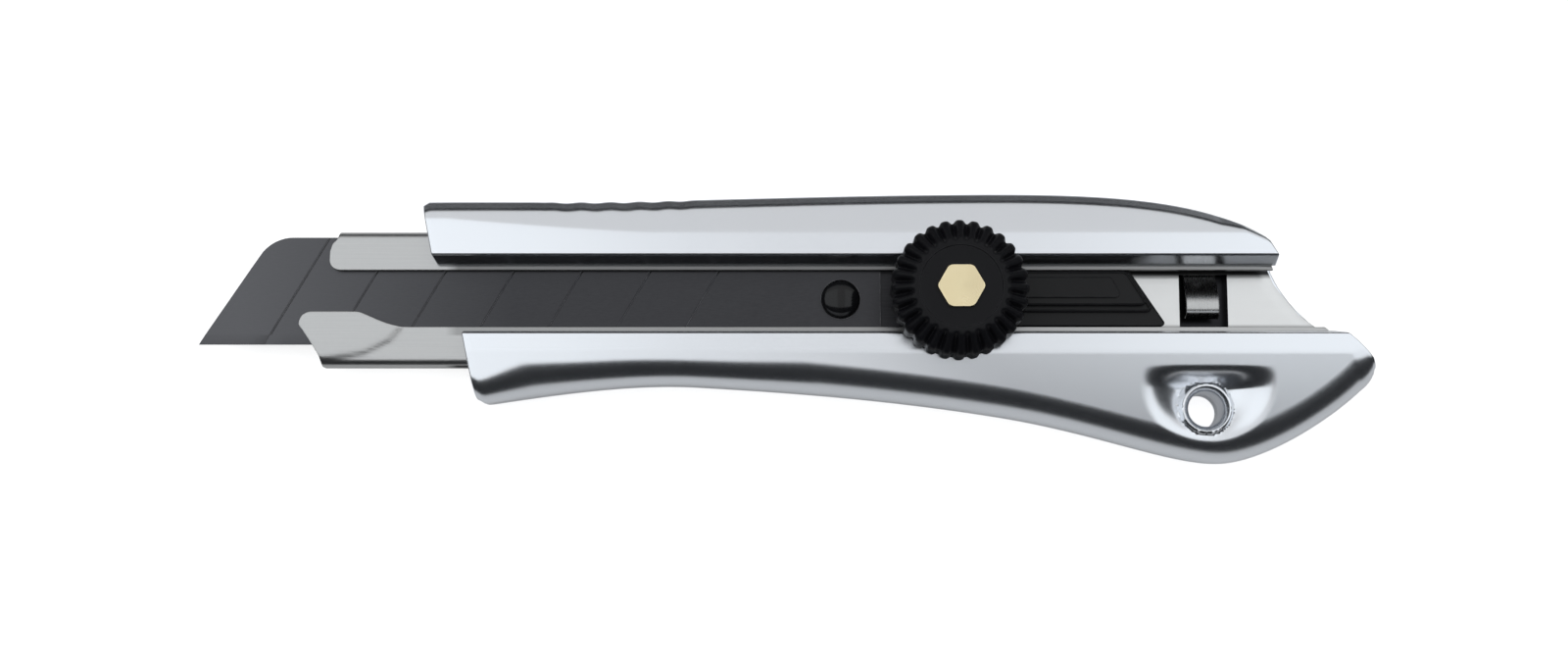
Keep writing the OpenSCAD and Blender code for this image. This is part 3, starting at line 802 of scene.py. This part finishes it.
def placed(tree, group, output, vector, **values):
    """Places a group in a material and returns its output socket."""
    node = tree.nodes.new("ShaderNodeGroup")
    node.node_tree = group
    tree.links.new(vector, node.inputs["Vector"])
    for key, value in values.items():
        node.inputs[key].default_value = value
    return node.outputs[output]


print("shader groups:", [g.name for g in bpy.data.node_groups])

# %% [markdown]
# ## Finishes
# Each finish is a Principled shader with its constants set on its own sockets. What changes over the
# surface is linked: the colour between two tones, the roughness in a narrow range, and a very small bump.

# %% Finish builder
def over(tree, mask, base, tone):
    """Lays a tone over a base colour (a socket or a constant) where the mask is 1."""
    mixed = add(tree, "Mix", mask, attrs={"data_type": "RGBA"}, out=2)
    if isinstance(base, bpy.types.NodeSocket):
        tree.links.new(base, mixed.node.inputs[6])
    else:
        mixed.node.inputs[6].default_value = base
    mixed.node.inputs[7].default_value = (*tone, 1)
    return mixed


finishes = {}


def finish(slot, tones, rough, lines=None, skin=(900.0, 0.5), worn=None, bump=0.02, tone_by=None, painted_shade_and_tones=(),
           **constants):
    """Adds a Principled material for a slot to the finishes.

    tones are the colours where the pattern is 0 and 1, rough the roughness there. lines is the stretch of
    the directional grain, skin its scale and marks, worn an edge tone with its width and amount, tone_by a
    builder of the mask between the tones, and stains are last colours, each with its own mask's builder;
    they hold painted shade as well as plain tones."""
    material = bpy.data.materials.new(slot + "_finish")
    material.use_nodes = True
    tree = material.node_tree
    shader = tree.nodes["Principled BSDF"]
    at = add(tree, "TexCoord", out="Object")
    skin_out = placed(tree, skin_group, "Skin", at, Scale=skin[0], Marks=skin[1])
    pattern = skin_out
    if lines:
        grain = placed(tree, lines_group, "Lines", at, Stretch=lines)
        pattern = math_node(tree, "MULTIPLY_ADD", skin_out, 0.5, math_node(tree, "MULTIPLY", grain, 0.5))
    mask = tone_by(tree, at, pattern) if tone_by else pattern
    colour = over(tree, mask, (*tones[0], 1), tones[1])
    if worn:
        worn_and_shaded = placed(tree, worn_group, "Mask", at, Width=worn[1], Amount=worn[2])
        colour = over(tree, worn_and_shaded, colour, worn[0])
    for tone, where in painted_shade_and_tones:
        colour = over(tree, where(tree, at, pattern), colour, tone)
    tree.links.new(colour, shader.inputs["Base Color"])
    tree.links.new(ranged(tree, pattern, 0.0, 1.0, rough[0], rough[1]), shader.inputs["Roughness"])
    relief = add(tree, "Bump", Strength=bump, Distance=0.0002, Height=pattern)
    tree.links.new(relief, shader.inputs["Normal"])
    for key, value in constants.items():
        shader.inputs[key.replace("_", " ")].default_value = value
    finishes[slot] = material


print("finish builder ready")

# %% Masks of single finishes
def toward_tip(tree, at, pattern):
    """Mask that grows from the rear of the blade to its tip, broken up by the grinding lines."""
    x_at = add(tree, "SeparateXYZ", at, out=0)
    rise = ranged(tree, x_at, -0.045, -0.09, 0.0, 0.85)
    return math_node(tree, "MULTIPLY_ADD", pattern, 0.25, rise)


def toward_rear(tree, at, pattern):
    """Mask that grows from the middle of the channel to its rear, where the sheet is given a paler tone."""
    return ranged(tree, add(tree, "SeparateXYZ", at, out=0), 0.02, 0.06)


def rings_round(centre, pitch):
    """Builder of a mask of concentric tool marks round a vertical axis: a sine of the radius."""
    def build(tree, at, pattern):
        middle = (centre[0] * MM, centre[1] * MM, 0)
        moved = add(tree, "VectorMath", at, middle, attrs={"operation": "SUBTRACT"})
        flat = add(tree, "VectorMath", moved, (1, 1, 0), attrs={"operation": "MULTIPLY"})
        radius = add(tree, "VectorMath", flat, attrs={"operation": "LENGTH"}, out="Value")
        wave = math_node(tree, "SINE", math_node(tree, "MULTIPLY", radius, 2 * math.pi / (pitch * MM)))
        return math_node(tree, "MULTIPLY_ADD", wave, 0.35, math_node(tree, "MULTIPLY", pattern, 0.6))
    return build


POCKET_SPANS = ((0.0655, 0.0748), (-0.0003, 0.0155), (0.0005, 0.00277))  # metres, on X, Y and Z


def pocket_painted_shade(tree, at, pattern):
    """Mask of painted shade in the recess under the stop spring, which is coloured near-black: a box test on
    each coordinate.
    """
    mask = None
    for axis, (low, high) in enumerate(POCKET_SPANS):
        value = add(tree, "SeparateXYZ", at, out=axis)
        for test, limit in (("GREATER_THAN", low), ("LESS_THAN", high)):
            passed = math_node(tree, test, value, limit)
            mask = passed if mask is None else math_node(tree, "MULTIPLY", mask, passed)
    return mask


LIP_INSIDE = (MID_HIGH - 0.2) * MM


def guide_painted_shade(tree, at, pattern):
    """Mask of painted shade in the guide's closed part: full under the lips, weaker on their free edges.

    It is 0 in the middle of the slot and grows away from its axis; the tabs in front are left out."""
    x_at, y_at, z_at = (add(tree, "SeparateXYZ", at, out=axis) for axis in range(3))
    away = math_node(tree, "ABSOLUTE", math_node(tree, "SUBTRACT", y_at, AXIS_Y * MM))
    under = math_node(tree, "LESS_THAN", z_at, LIP_INSIDE)
    deep = math_node(tree, "MULTIPLY", ranged(tree, away, 0.0038, 0.0047), under)
    above = math_node(tree, "GREATER_THAN", z_at, LIP_INSIDE)
    worn_and_shaded = math_node(tree, "MULTIPLY", above, ranged(tree, y_at, 0.001, 0.009, 0.35, 0.62))
    edge = math_node(tree, "MULTIPLY", worn_and_shaded, ranged(tree, away, 0.0063, 0.0060))
    covered = ranged(tree, x_at, -0.0560, -0.0540)
    return math_node(tree, "MULTIPLY", covered, math_node(tree, "MAXIMUM", deep, edge))


print("mask builders ready")

# %% Finishes of the knife
# The casting's pocket under the stop spring is coloured near-black: painted shade in the recess.
finish("plated_casting", [(0.78, 0.805, 0.845), (0.84, 0.86, 0.895)], (0.22, 0.30),
       skin=(1400.0, 0.35), worn=((0.92, 0.93, 0.95), 0.0005, 0.5), bump=0.012,
       painted_shade_and_tones=[((0.02, 0.02, 0.022), pocket_painted_shade)], Metallic=1.0)
# Under its lips and on their free edges the channel is coloured near-black: painted shade.
finish("stainless_sheet", [(0.47, 0.47, 0.47), (0.57, 0.57, 0.565)], (0.28, 0.40),
       lines=(60.0, 5200.0, 5200.0), skin=(1200.0, 0.3), bump=0.06,
       painted_shade_and_tones=[((0.74, 0.74, 0.735), toward_rear), ((0.03, 0.03, 0.03), guide_painted_shade)],
       Metallic=1.0)
finish("spring_steel", [(0.42, 0.42, 0.42), (0.60, 0.60, 0.59)], (0.22, 0.34),
       lines=(9000.0, 300.0, 300.0), skin=(1000.0, 0.3), bump=0.02, Metallic=1.0)
finish("rivet_steel", [(0.50, 0.50, 0.51), (0.64, 0.64, 0.65)], (0.26, 0.38),
       skin=(1800.0, 0.5), worn=((0.8, 0.8, 0.8), 0.0002, 0.6), bump=0.05, Metallic=1.0)
finish("zinc_steel", [(0.52, 0.54, 0.58), (0.66, 0.68, 0.72)], (0.25, 0.38), skin=(900.0, 0.6),
       worn=((0.85, 0.86, 0.88), 0.0002, 0.5), bump=0.04, Metallic=1.0)
finish("blackened_steel", [(0.035, 0.035, 0.038), (0.06, 0.06, 0.064)], (0.34, 0.5),
       lines=(70.0, 3500.0, 3500.0), worn=((0.35, 0.35, 0.36), 0.0003, 0.8), bump=0.05,
       Metallic=1.0)
finish("blade_steel", [(0.047, 0.047, 0.051), (0.115, 0.115, 0.122)], (0.30, 0.40),
       lines=(900.0, 6000.0, 6000.0), skin=(1500.0, 0.45), bump=0.05, tone_by=toward_tip,
       worn=((0.55, 0.55, 0.56), 0.00012, 0.5), Metallic=1.0)
finish("peg_black", [(0.006, 0.006, 0.007), (0.012, 0.012, 0.013)], (0.12, 0.2),
       skin=(700.0, 0.6), bump=0.01, Specular_IOR_Level=0.25, Coat_Weight=0.15,
       Coat_Roughness=0.08)
finish("slider_plastic", [(0.008, 0.008, 0.009), (0.016, 0.016, 0.017)], (0.32, 0.46),
       skin=(2600.0, 0.3), worn=((0.04, 0.04, 0.043), 0.0003, 0.6), bump=0.10,
       Specular_IOR_Level=0.22)
finish("wheel_plastic", [(0.006, 0.006, 0.008), (0.012, 0.012, 0.014)], (0.34, 0.48),
       skin=(2200.0, 0.35), worn=((0.06, 0.06, 0.064), 0.00035, 0.7), bump=0.12,
       Specular_IOR_Level=0.16)
finish("brass", [(0.80, 0.68, 0.42), (0.95, 0.85, 0.59)], (0.22, 0.34), skin=(800.0, 0.4),
       worn=((0.95, 0.85, 0.6), 0.0002, 0.5), bump=0.05, tone_by=rings_round(WHEEL_C, 0.22),
       Metallic=1.0, Anisotropic=0.4)


def dress(thing, slot):
    """Gives an object one material in every slot it has."""
    if not thing.data.materials:
        thing.data.materials.append(finishes[slot])
    for holder in thing.material_slots:
        holder.material = finishes[slot]


made = {casting: "plated_casting", channel: "stainless_sheet", blade: "blade_steel", nut: "brass",
        lock_wheel: "wheel_plastic", peg: "peg_black", spring: "spring_steel", slider: "slider_plastic"}
for thing, slot in made.items():
    dress(thing, slot)
kept_nodes = {"channel_rivets": "rivet_steel", "spring_rivet": "rivet_steel", "clamp_stud": "zinc_steel",
              "pressure_washer": "zinc_steel", "blade_carrier": "blackened_steel",
              "wave_washer": "spring_steel"}
for node_name, slot in kept_nodes.items():
    dress(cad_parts[node_name], slot)
print("finishes:", sorted(finishes))

# %% [markdown]
# ## Floor, light and camera
# The knife lies on its back on a plain white table. One wide soft box hangs over it, so the flat faces
# mirror it and come out pale, while the round-overs look past its border into the dim room and turn dark,
# as plated metal does. The camera looks down almost straight, leaning a little towards the belly side.

# %% Floor
floor_mesh = bpy.data.meshes.new("table")
TABLE_M = 4.0
table_corners = [(x * TABLE_M, y * TABLE_M, 0) for x, y in ((-1, -1), (1, -1), (1, 1), (-1, 1))]
floor_mesh.from_pydata(table_corners, [], [(0, 1, 2, 3)])
table = bpy.data.objects.new("table", floor_mesh)
bpy.context.scene.collection.objects.link(table)
paper = bpy.data.materials.new("white_paper")
paper.use_nodes = True
paper_tree = paper.node_tree
paper_shader = paper_tree.nodes["Principled BSDF"]
fibre = add(paper_tree, "TexNoise", Vector=add(paper_tree, "TexCoord", out="Object"), Scale=300.0, Detail=3.0)
paper_tree.links.new(ranged(paper_tree, fibre, 0.3, 0.7, 0.75, 0.85), paper_shader.inputs["Roughness"])
paper_shader.inputs["Base Color"].default_value = (0.9, 0.9, 0.9, 1)
paper_shader.inputs["Specular IOR Level"].default_value = 0.1
paper_shader.inputs["Emission Color"].default_value = (1, 1, 1, 1)
seen = add(paper_tree, "LightPath", out="Is Camera Ray")
glow = ranged(paper_tree, seen, 0.0, 1.0, 0.12, 0.8)
paper_tree.links.new(glow, paper_shader.inputs["Emission Strength"])
floor_mesh.materials.append(paper)
print("table:", 2 * TABLE_M, "m wide")

# %% Light
def soft_box(name, at, size, radiance, colour=(1, 1, 1), aim=(0, 0, 0)):
    """A rectangular area light of a given brightness: power = pi * area * radiance."""
    light = bpy.data.lights.new(name, "AREA")
    light.shape, light.size, light.size_y = "RECTANGLE", size[0], size[1]
    light.energy, light.color = math.pi * size[0] * size[1] * radiance, colour
    lamp = bpy.data.objects.new(name, light)
    lamp.location = at
    lamp.rotation_euler = (Vector(at) - Vector(aim)).to_track_quat("Z", "Y").to_euler()
    bpy.context.scene.collection.objects.link(lamp)
    return lamp


BOX_Z, NEAR_Y, FAR_Y, LAST_Y, REACH_X = 0.62, -0.19, 0.42, 0.84, 0.95


def ceiling(name, x_span, y_span, radiance, colour=(0.98, 0.99, 1.0)):
    """A soft box that fills a rectangle of the ceiling and shines straight down."""
    at = (sum(x_span) / 2, sum(y_span) / 2, BOX_Z)
    return soft_box(name, at, (x_span[1] - x_span[0], y_span[1] - y_span[0]), radiance, colour, (*at[:2], 0))


ceiling("tip_side", (-REACH_X, -0.07), (NEAR_Y, FAR_Y), 1.14, (0.95, 0.98, 1.0))
ceiling("over_table", (-0.07, 0.15), (NEAR_Y, FAR_Y), 0.80)
ceiling("butt_side", (0.15, REACH_X), (NEAR_Y, FAR_Y), 1.10, (0.95, 0.98, 1.0))
ceiling("far_side", (-REACH_X, REACH_X), (FAR_Y, LAST_Y), 0.70, (1.0, 1.0, 1.0))
world = bpy.data.worlds.new("dim_room")
world.use_nodes = True
backdrop = world.node_tree.nodes["Background"].inputs
backdrop["Color"].default_value, backdrop["Strength"].default_value = (0.022, 0.023, 0.025, 1), 1.0
bpy.context.scene.world = world
bpy.context.scene.view_settings.view_transform = "Standard"

# %% Camera
LEAN_BACK, DISTANCE, TARGET_Z = math.radians(8), 0.350, 0.0055
eye = bpy.data.cameras.new("camera")
eye.sensor_width, eye.lens, eye.clip_start = 36, 48.4, 0.01
camera = bpy.data.objects.new("camera", eye)
camera.location = (0, -DISTANCE * math.sin(LEAN_BACK), TARGET_Z + DISTANCE * math.cos(LEAN_BACK))
camera.rotation_euler = (LEAN_BACK, 0, 0)
bpy.context.scene.collection.objects.link(camera)
bpy.context.scene.camera = camera
print("camera at", tuple(round(v, 4) for v in camera.location))
